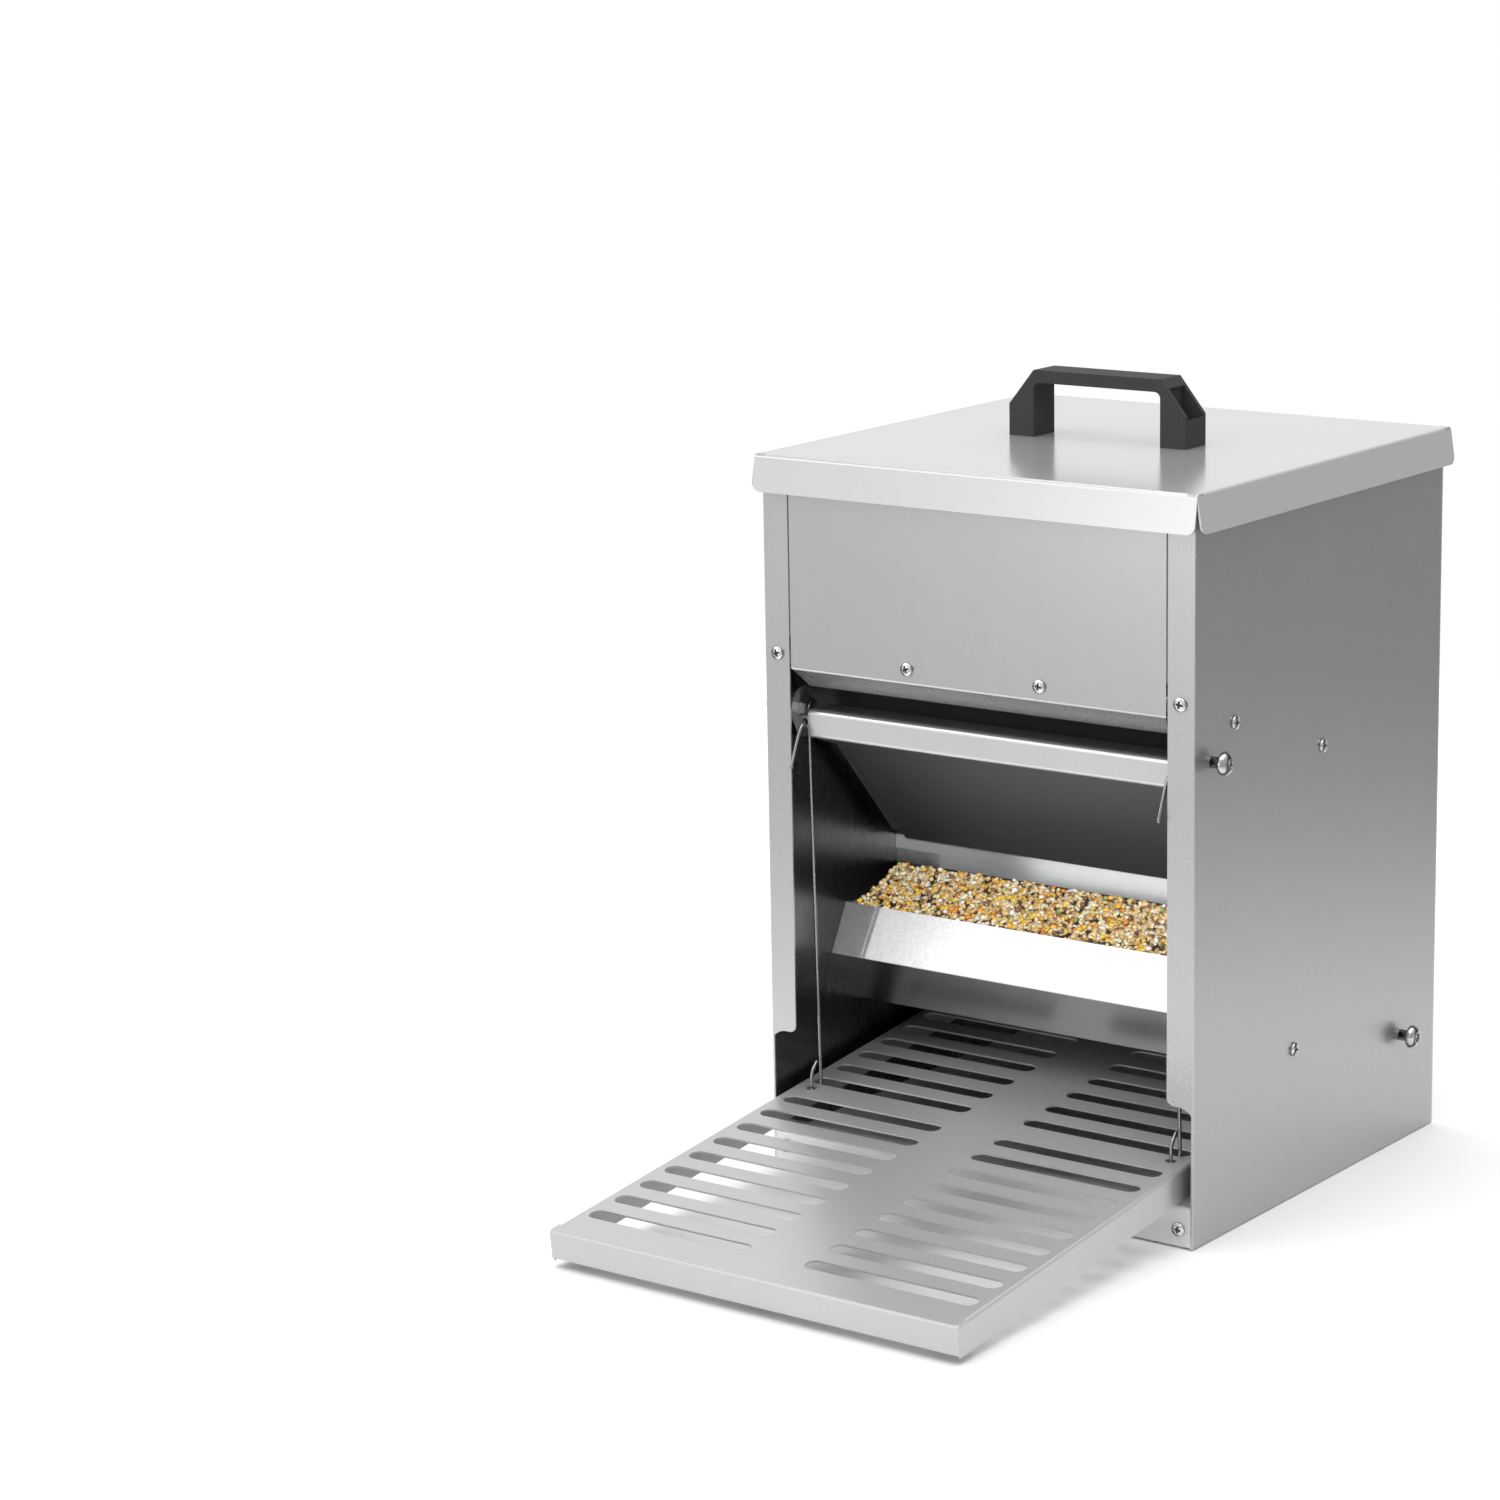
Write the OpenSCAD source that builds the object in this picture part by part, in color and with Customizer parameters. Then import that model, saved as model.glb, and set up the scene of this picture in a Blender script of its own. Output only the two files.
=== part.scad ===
// Treadle chicken feeder: galvanised sheet-metal cabinet, hopper, trough, and a
// slotted treadle whose weight pulls a swinging flap open through two wire links.
// X is to the right, Y to the back, Z up. The origin is on the floor, at the
// middle of the cabinet's footprint. The model stands with the flap open.
// Positions along Y are measured from the front face, and placed() moves them.

/* [Cabinet] */
// Width of the cabinet over its side walls
body_w = 265; // [240:1:320]
// Depth of the cabinet, front face to back face
body_d = 258; // [254:1:290]
// Height of the side walls
wall_h = 389.7; // [380:0.1:440]
// Thickness of every sheet
sheet = 1; // [0.8:0.1:1]
// Width of the folded flanges at the front and back of each side wall
flange_w = 15.5; // [14:0.5:18]
// Height where the front flanges stop, above the treadle
flange_end = 75; // [72:1:90]
// Height of the front panel's lower edge
panel_end = 277; // [274:1:280]
// Height of the sill in front of the treadle
sill_h = 22; // [16:0.5:22]

/* [Lid] */
// How far the lid's top stands out past the cabinet all round
lid_over = 2.8; // [2:0.1:5]
// How far the lid's flanges flare outward at their lower edge
lid_flare = 3; // [1:0.5:5]
// Height of the lid's flanges
lid_drop = 20; // [14:1:30]
// Length of the carrying handle
handle_l = 110; // [100:1:130]
// Width of the carrying handle
handle_w = 20.5; // [18:0.5:26]
// Height of the carrying handle above the lid
handle_h = 36; // [32:1:44]

/* [Flap] */
// Gap between the flap's ends and the side walls
flap_gap = 9.5; // [8:0.5:12]
// Gap between the ends of the flap's front bar and the front flanges
bar_gap = 5; // [4.5:0.5:10]
// Slope of the flap's plate when open, in degrees below level
flap_slope = 48.5; // [48:0.1:49]
// Length of the flap's plate along its slope
flap_plate = 122.5; // [110:0.5:122.5]
// Diameter of the pivot bolts
pivot_d = 6; // [5:0.5:6]

/* [Treadle] */
// Gap between the treadle's sides and the side walls
treadle_gap = 6.5; // [5.5:0.5:10]
// Distance from the treadle's front edge back to its pivot
treadle_l = 424.4; // [380:0.1:440]
// Slope of the treadle when it is pressed down, in degrees
treadle_slope = 6; // [5.5:0.1:6]
// Depth of the treadle's side skirts
skirt_h = 17; // [12:0.5:17.5]
// Width of the slots
slot_w = 10; // [8:0.5:12]
// Distance from one slot to the next
slot_pitch = 21.1; // [18:0.1:21.3]

/* [Links] */
// Diameter of the link wires
wire_d = 2; // [1.5:0.1:2.2]

/* [Hidden] */
$fn = 48;

// Sheet colours
zinc = [0.72, 0.73, 0.74];
zinc_dark = [0.55, 0.56, 0.58];
zinc_light = [0.82, 0.83, 0.84];
chrome = [0.86, 0.87, 0.89];
black = [0.12, 0.12, 0.13];

half_w = body_w / 2;
in_half = half_w - sheet;       // inner face of a side wall
fit = 0.1;                      // gap between sheets that are fastened together
edge = in_half - fit;           // half width of a sheet that fits between the walls
eps = 0.05;
bend_r = 1.6;                   // radius on the middle of a folded sheet

// Flap pivot, and the middle line of the flap's plate
flap_half = in_half - flap_gap;
bar_half = half_w - flange_w - bar_gap;
flap_y = 17.5;
flap_z = 252.5;
plate_dir = [cos(flap_slope), -sin(flap_slope)];
knee = [32.4, 251.6];
plate_end = knee + flap_plate * plate_dir;
bar_y = 9.5;
bar_top = 252.4;
bar_bottom = 238.4;
hook_z = 246.5;                 // hole in the flap's hook tab
hook_hole = 4;
wire_x = bar_half + 2;

// Treadle pivot, and the height of the treadle's top over that axis
treadle_half = in_half - treadle_gap;
treadle_y = 220;
treadle_z = 60;
plate_over = 4.33;

// Along the treadle from its pivot: the hook hole, and the slots in front of and behind it
hook_v = -211.3;
front_slot = -228.9;
front_slots = 1 + floor((treadle_l + front_slot - 20) / slot_pitch);
rear_slot = -200.3;
rear_slots = 7;

// Pivot bolts: where the head starts, and the clearance in the wall
bolt_seat = half_w + 6;
pivot_fit = 0.05;
head_r = 6.3;
head_h = 4.4;
head_dome = 7.5;                // radius of the head's dome

// Hopper chute: the middle line of its slope
chute_foot = 117.2;
chute_tan = 1.1238;
chute_low = 160.3;
chute_front = sheet + fit + sheet / 2;
chute_top = chute_low + (chute_foot - chute_front) * chute_tan;
chute_lip = 152.2;
gate_low = 144;

// Trough: outer face, from the lip round to the back
trough_lip = [68, 131.5];
trough_nose = [54, 105.5];
trough_low = 75;
trough_front = 75;
trough_back = 148;

// Screws: shank, hole, head
screw_r = 1.9;
screw_hole = 2;
screw_head = 3.7;
screw_l = 6;
short_screw_l = 4;              // where something lies close behind the sheets
screw_z = 284.3;
flange_screw_x = half_w - 8;
panel_screw_x = 41;
sill_screw_z = 10;
back_screw_z = [30, 200, 360];
// Screws in the side walls: [y, z]
chute_screw = [39, 269];
tie_screw = [129, 240];
trough_screw = [102, 81.5];

lid_z = wall_h + 0.3;           // underside of the lid
handle_y = body_d / 2;
handle_hole = handle_l / 2 - 7.75;

// ---------- Tools ----------

// Stretches a (Y, Z) outline along X
module along_x(x0, x1) translate([x0, 0, 0]) rotate([90, 0, 90]) linear_extrude(x1 - x0) children();

// Stretches an (X, Z) outline along Y
module along_y(y0, y1) translate([0, y1, 0]) rotate([90, 0, 0]) linear_extrude(y1 - y0) children();

module both() {
    children();
    mirror([1, 0, 0]) children();
}

// Moves the origin from the front face to the middle of the footprint
module placed() translate([0, -body_d / 2, 0]) children();

// Puts a right-hand piece on the side given as 1 or -1
module on_side(side) if (side < 0) mirror([1, 0, 0]) children(); else children();

function unit(v) = v / norm(v);
function left_of(v) = [-v[1], v[0]];

// One bend of a folded sheet as a short arc from leg to leg
function bend(a, b, c, r, steps = 4) =
    let (u = unit(a - b), v = unit(c - b),
         turn = acos(max(-1, min(1, u * v))),
         back = r / tan(turn / 2),
         centre = b + unit(u + v) * r / sin(turn / 2),
         start = b + u * back - centre,
         side = sign(u[0] * v[1] - u[1] * v[0]))
    [for (i = [0:steps])
        let (w = side * (i / steps) * (180 - turn))
        centre + [start[0] * cos(w) + start[1] * sin(w), start[1] * cos(w) - start[0] * sin(w)]];

function folded(path, r) =
    concat([path[0]],
           [for (i = [1:1:len(path) - 2]) each bend(path[i - 1], path[i], path[i + 1], r)],
           [path[len(path) - 1]]);

// Point i of a path, moved sideways by h with mitred corners
function moved(p, i, h) =
    let (n = len(p) - 1,
         a = i == 0 ? unit(p[1] - p[0]) : unit(p[i] - p[i - 1]),
         b = i == n ? a : unit(p[i + 1] - p[i]),
         m = unit(left_of(a) + left_of(b)))
    p[i] + m * h / (m * left_of(a));

// Cross-section of a folded sheet from the middle line of its legs
module sheet_section(path, r = bend_r) {
    p = folded(path, r);
    n = len(p) - 1;
    polygon(concat([for (i = [0:n]) moved(p, i, sheet / 2)],
                   [for (i = [n:-1:0]) moved(p, i, -sheet / 2)]));
}

module round_rect(x0, y0, x1, y1, r) {
    translate([x0, y0 + r]) square([x1 - x0, y1 - y0 - 2 * r]);
    translate([x0 + r, y0]) square([x1 - x0 - 2 * r, y1 - y0]);
    for (x = [x0 + r, x1 - r], y = [y0 + r, y1 - r]) translate([x, y]) circle(r);
}

// Cross-recess pan screw along +Z: the head's underside is at z = 0, the shank below it
module pan_screw(length) {
    difference() {
        union() {
            rotate_extrude() intersection() {
                translate([0, -6.2]) circle(8.4, $fn = 96);
                square([screw_head, 3]);
            }
            translate([0, 0, -length]) cylinder(r = screw_r, h = length + eps);
        }
        for (a = [0, 90]) rotate(a) translate([-2, -0.45, 1]) cube([4, 0.9, 3]);
    }
}

module hex_nut(across, height, bore_r) {
    difference() {
        cylinder(r = across / 2 / cos(30), h = height, $fn = 6);
        translate([0, 0, -1]) cylinder(r = bore_r, h = height + 2);
    }
}

// A screw in a side wall, its head outside the right wall
module wall_screw(at, length) translate([half_w, at[0], at[1]]) rotate([0, 90, 0]) pan_screw(length);

// A screw in a front sheet, its head in front
module front_screw(x, z, length) translate([x, 0, z]) rotate([90, 0, 0]) pan_screw(length);

// Domed pivot bolt through the right wall at (y, z), its shank ending at x = tip
module pivot_bolt(y, z, tip) translate([0, y, z]) rotate([0, 90, 0]) {
    translate([0, 0, tip]) cylinder(d = pivot_d, h = bolt_seat - tip + eps);
    translate([0, 0, bolt_seat]) rotate_extrude() {
        square([head_r, 1]);
        intersection() {
            translate([0, head_h - head_dome]) circle(head_dome, $fn = 128);
            square([head_r, head_h + 1]);
        }
    }
}

// ---------- Cabinet ----------

module side_panel(side) on_side(side) difference() {
    union() {
        along_x(in_half, half_w) square([body_d, wall_h]);
        // Front flange, with a rounded inner corner and an arc into the wall's edge
        along_y(0, sheet) difference() {
            union() {
                translate([half_w - flange_w, flange_end + 4]) square([flange_w, wall_h - flange_end - 4]);
                translate([half_w - flange_w + 4, flange_end]) square([flange_w - 4, 5]);
                translate([half_w - flange_w + 4, flange_end + 4]) circle(4);
                translate([in_half - 8, flange_end - 3.5]) square([8 + eps, 3.5 + eps]);
            }
            translate([in_half - 8, flange_end - 10.9]) circle(10.9, $fn = 96);
        }
        // Back flange, and the tab behind the sill
        along_y(body_d - sheet, body_d) translate([half_w - flange_w, 0]) square([flange_w, wall_h]);
        along_y(sheet + fit, 2 * sheet + fit) translate([half_w - flange_w, 3])
            square([flange_w - sheet / 2, 16]);
    }
    for (p = [[flap_y, flap_z], [treadle_y, treadle_z]])
        translate([in_half - 1, p[0], p[1]]) rotate([0, 90, 0])
            cylinder(d = pivot_d + 2 * pivot_fit, h = 3);
    for (p = [chute_screw, tie_screw, trough_screw])
        translate([in_half - 1, p[0], p[1]]) rotate([0, 90, 0]) cylinder(r = screw_hole, h = 3);
    for (z = [screw_z, sill_screw_z])
        translate([flange_screw_x, 3, z]) rotate([90, 0, 0]) cylinder(r = screw_hole, h = 4);
    for (z = back_screw_z)
        translate([flange_screw_x, body_d + 1, z]) rotate([90, 0, 0]) cylinder(r = screw_hole, h = 4);
}

module side_panel_left() color(zinc) placed() side_panel(-1);

module side_panel_right() color(zinc) placed() side_panel(1);

// The back panel lies inside the back flanges
module back_panel() color(zinc_dark) placed() {
    y0 = body_d - 2 * sheet - fit;
    difference() {
        union() {
            along_y(y0, y0 + sheet) translate([-edge, 1]) square([2 * edge, wall_h - 1.5]);
            along_y(y0 - 12, y0 + eps) translate([-edge + 20, wall_h - 0.5 - sheet])
                square([2 * edge - 40, sheet]);
        }
        both() for (z = back_screw_z)
            translate([flange_screw_x, body_d, z]) rotate([90, 0, 0]) cylinder(r = screw_hole, h = 5);
    }
}

// The front panel stands between the front flanges, with wings behind them
module front_panel() color(zinc_light) placed() {
    wide = half_w - flange_w - 1;
    lip = 10.5;
    top = wall_h - 1.5;
    mid = sheet / 2;
    difference() {
        union() {
            along_x(-wide, wide)
                sheet_section([[12, top], [mid, top], [mid, panel_end], [lip, panel_end - lip]]);
            both() translate([0, 0, panel_end + 17]) {
                along_y(sheet - eps, sheet + fit + eps) translate([wide - 4, 0])
                    square([4, top - panel_end - 20]);
                along_y(sheet + fit, 2 * sheet + fit) translate([wide - 4, 0])
                    square([flange_w + 2, top - panel_end - 20]);
            }
        }
        // The ends of the folded lip are cut back at an angle
        both() along_y(-1, lip + 3) polygon([[wide, panel_end], [wide - 5, panel_end - lip - 1],
                                             [wide + 1, panel_end - lip - 1], [wide + 1, panel_end]]);
        both() translate([panel_screw_x, 3, screw_z]) rotate([90, 0, 0]) cylinder(r = screw_hole, h = 5);
    }
}

// Floor, sill with its folded top, back and side upstands in one sheet
module base_pan() color(zinc) placed() {
    mid = sheet / 2;
    back = body_d - 3 * sheet - 2 * fit - mid;
    difference() {
        union() {
            along_x(-edge, edge) sheet_section([[9, sill_h - mid], [mid, sill_h - mid], [mid, mid],
                                                [back, mid], [back, 20]]);
            both() along_x(edge - sheet, edge) translate([3, 0]) square([back - 5, 14]);
        }
        both() translate([flange_screw_x, 3, sill_screw_z]) rotate([90, 0, 0])
            cylinder(r = screw_hole, h = 4);
    }
}

// Front wall of the hopper: a flange behind the front panel, the slope, and a lip at its foot
module hopper_chute() color(zinc_dark) placed() {
    slope = [1, -chute_tan] / norm([1, chute_tan]);
    up = [-slope[1], slope[0]];
    start = [chute_front, chute_top] + 9 * slope;
    stop = [chute_foot, chute_low] - 5 * slope;
    difference() {
        union() {
            along_x(-edge, edge) sheet_section([[chute_front, 279], [chute_front, chute_top],
                                                [chute_foot, chute_low], [chute_foot, chute_lip]]);
            both() along_x(edge - sheet, edge)
                polygon([start, stop, stop + 20 * up, start + 20 * up + 14 * slope]);
        }
        both() {
            for (x = [flange_screw_x, panel_screw_x])
                translate([x, 3, screw_z]) rotate([90, 0, 0]) cylinder(r = screw_hole, h = 4);
            translate([edge - 2, chute_screw[0], chute_screw[1]]) rotate([0, 90, 0])
                cylinder(r = screw_hole, h = 4);
        }
    }
}

// Strip behind the chute's lip that sets how much feed runs out
module feed_gate() color(zinc_dark) placed() {
    y0 = chute_foot + sheet / 2 + fit;
    along_y(y0, y0 + sheet) translate([-edge, gate_low]) square([2 * edge, 15]);
}

// Back wall of the hopper, sloping down to the trough
module rear_slope() color(zinc_dark) placed() {
    back = body_d - 2 * sheet - 2 * fit - sheet / 2;
    foot = [trough_back + 5.5, trough_low + 9.2];
    along_x(-edge, edge) sheet_section([[back, 262], [back, 238], foot]);
}

// Trough: inward lip, nose, under face, floor and back leg, with a flange at each end
module trough() color(zinc_light) placed() {
    mid = sheet / 2;
    path = [trough_lip + [mid, -mid / 2], trough_nose + [1.2 * mid, 0],
            [trough_front + mid, trough_low + mid], [trough_back, trough_low + mid],
            [trough_back + 12, trough_low + mid + 14.5]];
    difference() {
        union() {
            along_x(-edge, edge) sheet_section(path, 1.2);
            both() along_x(edge - sheet, edge)
                polygon([path[0] + [0.4, -1], path[1], path[2], path[3], path[3] + [4, 5], path[3] + [0, 16],
                         path[2] + [8, 16], path[1] + [14, 2], path[0] + [10, -1]]);
        }
        both() translate([edge - 2, trough_screw[0], trough_screw[1]]) rotate([0, 90, 0])
            cylinder(r = screw_hole, h = 4);
    }
}

// Tube across the hopper that ties the side walls together
module tie_rod() color(zinc_dark) placed() translate([-edge, tie_screw[0], tie_screw[1]]) rotate([0, 90, 0])
    difference() {
        cylinder(d = 10, h = 2 * edge);
        translate([0, 0, -1]) cylinder(r = screw_hole, h = 15);
        translate([0, 0, 2 * edge - 14]) cylinder(r = screw_hole, h = 15);
    }

module flange_screws() color(chrome) placed() both() front_screw(flange_screw_x, screw_z, short_screw_l);

module front_panel_screws() color(chrome) placed() both() front_screw(panel_screw_x, screw_z, short_screw_l);

module sill_screws() color(chrome) placed() both() front_screw(flange_screw_x, sill_screw_z, screw_l);

module chute_screws() color(chrome) placed() both() wall_screw(chute_screw, screw_l);

module tie_rod_screws() color(chrome) placed() both() wall_screw(tie_screw, 12);

module trough_screws() color(chrome) placed() both() wall_screw(trough_screw, short_screw_l);

module back_screws() color(chrome) placed() both() for (z = back_screw_z)
    translate([flange_screw_x, body_d, z]) rotate([-90, 0, 0]) pan_screw(screw_l);

// ---------- Treadle ----------

module on_treadle() translate([0, treadle_y, treadle_z]) rotate([treadle_slope, 0, 0]) children();

// Rounded slot across one half of the treadle, at distance v from the pivot
module slot_cut(v) {
    inner = 17.5 + slot_w / 2;
    outer = treadle_half - 6 - slot_w / 2;
    translate([inner, v, 0]) {
        translate([0, -slot_w / 2, 0]) cube([outer - inner, slot_w, 10]);
        cylinder(d = slot_w, h = 10);
        translate([outer - inner, 0, 0]) cylinder(d = slot_w, h = 10);
    }
}

module treadle() color(zinc) placed() on_treadle() {
    half = treadle_half;
    top = plate_over;
    rear = -13;
    mid = sheet / 2;
    difference() {
        union() {
            // Plate with both side skirts, folded from one sheet
            translate([0, -treadle_l + sheet, 0]) rotate([90, 0, 0]) mirror([0, 0, 1])
                linear_extrude(treadle_l + rear - sheet)
                    sheet_section([[half - mid, top - skirt_h], [half - mid, top - mid],
                                   [mid - half, top - mid], [mid - half, top - skirt_h]]);
            // Front skirt
            along_x(-half, half) sheet_section([[8 - treadle_l, top - mid], [mid - treadle_l, top - mid],
                                                [mid - treadle_l, top - skirt_h + 1.5]]);
            // Pivot ears
            both() along_x(half - sheet, half) {
                translate([rear - 2, top - skirt_h]) square([2 - rear, skirt_h - 4]);
                circle(12);
            }
        }
        both() {
            for (i = [0:front_slots - 1]) slot_cut(front_slot - i * slot_pitch);
            for (i = [0:rear_slots - 1]) slot_cut(rear_slot + i * slot_pitch);
            translate([wire_x, hook_v, 0]) cylinder(d = 6, h = 10);
            translate([half - 3, 0, 0]) rotate([0, 90, 0]) cylinder(d = pivot_d + 2 * fit, h = 5);
        }
    }
}

module treadle_pivot_bolts() color(chrome) placed() both()
    pivot_bolt(treadle_y, treadle_z, treadle_half - sheet - 6);

// A thin nut on each side of each ear
module treadle_pivot_nuts() color(chrome) placed() both() translate([0, treadle_y, treadle_z]) {
    for (x = [treadle_half + fit, treadle_half - sheet - fit - 4])
        translate([x, 0, 0]) rotate([0, 90, 0]) hex_nut(10, 4, pivot_d / 2 + fit);
}

// ---------- Flap ----------

module flap() color(zinc_light) placed() {
    mid = sheet / 2;
    down = plate_dir;
    face = [down[1], -down[0]];          // out of the plate's front face
    front = knee + mid * face;
    rim = 4.5;
    difference() {
        union() {
            // Bar, top and knee, between the front flanges
            along_x(-bar_half, bar_half)
                sheet_section([[bar_y + 4, bar_bottom], [bar_y, bar_bottom], [bar_y, bar_top],
                               knee, knee + 20 * down]);
            // Full-width plate
            along_x(-flap_half, flap_half)
                sheet_section([knee + 6 * down, plate_end]);
            // Ears forward from the plate's ends to the pivot, and a low rim along each end
            both() along_x(flap_half - sheet, flap_half) {
                translate([flap_y, flap_z]) circle(11);
                polygon([[flap_y - 9.5, flap_z - 5.4], [13.7, 237.1], [26, 233.6],
                         front + 30 * down + rim * face, front + (flap_plate - 14) * down + rim * face,
                         front + (flap_plate - 9) * down, front + (flap_plate - 9) * down - mid * face,
                         knee + 6 * down, [flap_y + 6, flap_z + 9.2]]);
            }
            // Hook tabs beside the bar
            both() along_y(bar_y - mid, bar_y + mid)
                round_rect(bar_half - 2, hook_z - 3, bar_half + 5, hook_z + 3, 1.2);
        }
        both() {
            translate([flap_half - 3, flap_y, flap_z]) rotate([0, 90, 0])
                cylinder(d = pivot_d + 2 * fit, h = 5);
            translate([wire_x, bar_y + 3, hook_z]) rotate([90, 0, 0]) cylinder(d = hook_hole, h = 6);
        }
    }
}

module flap_pivot_bolts() color(chrome) placed() both() pivot_bolt(flap_y, flap_z, flap_half - 6.5);

// A nut on each side of each ear
module flap_pivot_nuts() color(chrome) placed() both() translate([0, flap_y, flap_z])
    for (x = [flap_half + fit, flap_half - sheet - fit - 5])
        translate([x, 0, 0]) rotate([0, 90, 0]) hex_nut(10, 5, pivot_d / 2 + fit);

// ---------- Link wires ----------

// Route of a link wire in (Y, Z): its tail, the hook through the flap's tab, the straight
// run down, the turn under the treadle and the free end above the hook hole
wire_route = [[-3.6, 224], [-0.5, 232], [3.6, 241.5], [6.4, 245.6], [9.5, 246.2], [11.8, 244.4],
              [12.6, 240], [14.9, 160], [18.2, 48], [18.4, 43.4], [17.6, 40.8], [14.2, 39.9],
              [10.9, 40.1], [9.5, 41.8], [9.4, 44], [9.5, 48.4], [10.8, 52], [14.2, 55.6]];

module link_wire(side) for (i = [1:len(wire_route) - 1]) hull()
    for (p = [wire_route[i - 1], wire_route[i]])
        translate([side * wire_x, p[0], p[1]]) sphere(d = wire_d, $fn = 16);

module link_wire_left() color(chrome) placed() link_wire(-1);

module link_wire_right() color(chrome) placed() link_wire(1);

// ---------- Lid ----------

// One flange of the lid, flared outward, for an edge of the given length that faces -Y
module lid_flange(length) {
    r = 5;
    difference() {
        along_x(-length / 2, length / 2)
            sheet_section([[6, -sheet / 2], [sheet / 2, -sheet / 2], [sheet / 2 - lid_flare, -lid_drop]]);
        // Rounded lower corners
        both() translate([length / 2 - r, 10, r - lid_drop]) rotate([90, 0, 0]) difference() {
            translate([0, -r - 3, 0]) cube([r + 1, r + 3, 20]);
            cylinder(r = r, h = 60, center = true);
        }
    }
}

module lid() color(zinc_light) placed() {
    wide = body_w + 2 * lid_over;
    deep = body_d + 2 * lid_over;
    difference() {
        translate([0, body_d / 2, lid_z + sheet]) {
            translate([3 - wide / 2, 3 - deep / 2, -sheet]) cube([wide - 6, deep - 6, sheet]);
            for (a = [0, 180]) rotate(a) translate([0, -deep / 2, 0]) lid_flange(wide);
            for (a = [90, 270]) rotate(a) translate([0, -wide / 2, 0]) lid_flange(deep);
        }
        both() translate([handle_hole, handle_y, lid_z - 1]) cylinder(d = 6.4, h = 3);
    }
}

// Bridge handle: a bar on two hollow legs whose sloped outer faces are open
module handle() color(black) placed() translate([0, handle_y, lid_z + sheet]) {
    out = handle_l / 2;
    leg = 15.5;
    bar = 6.8;
    slope_x = out - 15.5;
    slope_z = 17;
    difference() {
        along_y(-handle_w / 2, handle_w / 2) difference() {
            polygon([[-out, 0], [out, 0], [out, slope_z], [slope_x, handle_h],
                     [-slope_x, handle_h], [-out, slope_z]]);
            translate([leg - out, -5]) square([2 * (out - leg), handle_h - bar + 1.5]);
            round_rect(leg - out, 0, out - leg, handle_h - bar, 3.5);
        }
        both() {
            // Pocket for the screw, open through the sloped face
            along_y(2.4 - handle_w / 2, handle_w / 2 - 2.4)
                polygon([[out - leg + 2.4, 5], [out - 2.4, 5], [out - 2.4, 14], [out + 4, 18],
                         [out - 8, handle_h], [out - leg + 2.4, handle_h - 7]]);
            translate([handle_hole, 0, -1]) cylinder(d = 6.4, h = 10);
        }
    }
}

// Cap screws in the handle's legs
module handle_screws() color(chrome) placed() both() {
    translate([handle_hole, handle_y, lid_z + sheet + 5.1]) handle_screw();
}

module handle_screw() {
    difference() {
        cylinder(d = 9.8, h = 5.6);
        translate([0, 0, 2.6]) cylinder(r = 2.9, h = 4, $fn = 6);
    }
    translate([0, 0, -15]) cylinder(d = 6, h = 15 + eps);
}

module handle_washers() color(chrome) placed() both() translate([handle_hole, handle_y, lid_z - 1.7])
    difference() {
        cylinder(d = 14, h = 1.6);
        translate([0, 0, -1]) cylinder(d = 6.4, h = 4);
    }

module handle_nuts() color(chrome) placed() both() translate([handle_hole, handle_y, lid_z - 6.8])
    hex_nut(10, 5, 3.1);

side_panel_left();
side_panel_right();
back_panel();
front_panel();
base_pan();
hopper_chute();
feed_gate();
rear_slope();
trough();
tie_rod();
flange_screws();
front_panel_screws();
chute_screws();
tie_rod_screws();
trough_screws();
sill_screws();
back_screws();
treadle();
treadle_pivot_bolts();
treadle_pivot_nuts();
flap();
flap_pivot_bolts();
flap_pivot_nuts();
link_wire_left();
link_wire_right();
lid();
handle();
handle_screws();
handle_washers();
handle_nuts();
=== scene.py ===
import math
from collections import namedtuple

import bmesh
import bpy
import numpy as np
from mathutils import Matrix, Vector


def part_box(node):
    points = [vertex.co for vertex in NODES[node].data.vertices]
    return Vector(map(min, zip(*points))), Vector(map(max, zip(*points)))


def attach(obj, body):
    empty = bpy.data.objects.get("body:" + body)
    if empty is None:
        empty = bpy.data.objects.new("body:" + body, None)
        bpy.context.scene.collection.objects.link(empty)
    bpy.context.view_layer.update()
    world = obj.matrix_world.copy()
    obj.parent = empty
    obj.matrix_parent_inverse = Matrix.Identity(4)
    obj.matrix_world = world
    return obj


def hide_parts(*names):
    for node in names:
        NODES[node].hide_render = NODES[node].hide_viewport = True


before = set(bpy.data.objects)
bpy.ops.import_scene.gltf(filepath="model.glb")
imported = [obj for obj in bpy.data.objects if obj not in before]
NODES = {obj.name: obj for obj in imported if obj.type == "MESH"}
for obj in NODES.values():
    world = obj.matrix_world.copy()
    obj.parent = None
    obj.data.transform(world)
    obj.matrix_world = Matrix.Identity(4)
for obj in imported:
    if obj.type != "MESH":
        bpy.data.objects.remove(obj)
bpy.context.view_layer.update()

MM = 0.001
SKIN = 1.05 * MM                                 # one sheet's thickness and a hair more
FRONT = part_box("side_panel_right")[0].y          # the cabinet's front face
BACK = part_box("side_panel_right")[1].y           # the side walls' rear edge
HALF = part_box("side_panel_right")[1].x           # half the cabinet's width
SIDES = (-1, 1)                                  # left and right, as signs of x
TWO_PI = 2 * math.pi
rng = np.random.default_rng(7)


def at(x, y, z):
    """A point in metres from millimetres, with y measured back from the front face."""
    return Vector((x * MM, FRONT + y * MM, z * MM))


def placed(name, data):
    """A new object in the scene that holds this mesh, lamp or camera."""
    o = bpy.data.objects.new(name, data)
    bpy.context.scene.collection.objects.link(o)
    return o


# ---------- camera ----------

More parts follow.
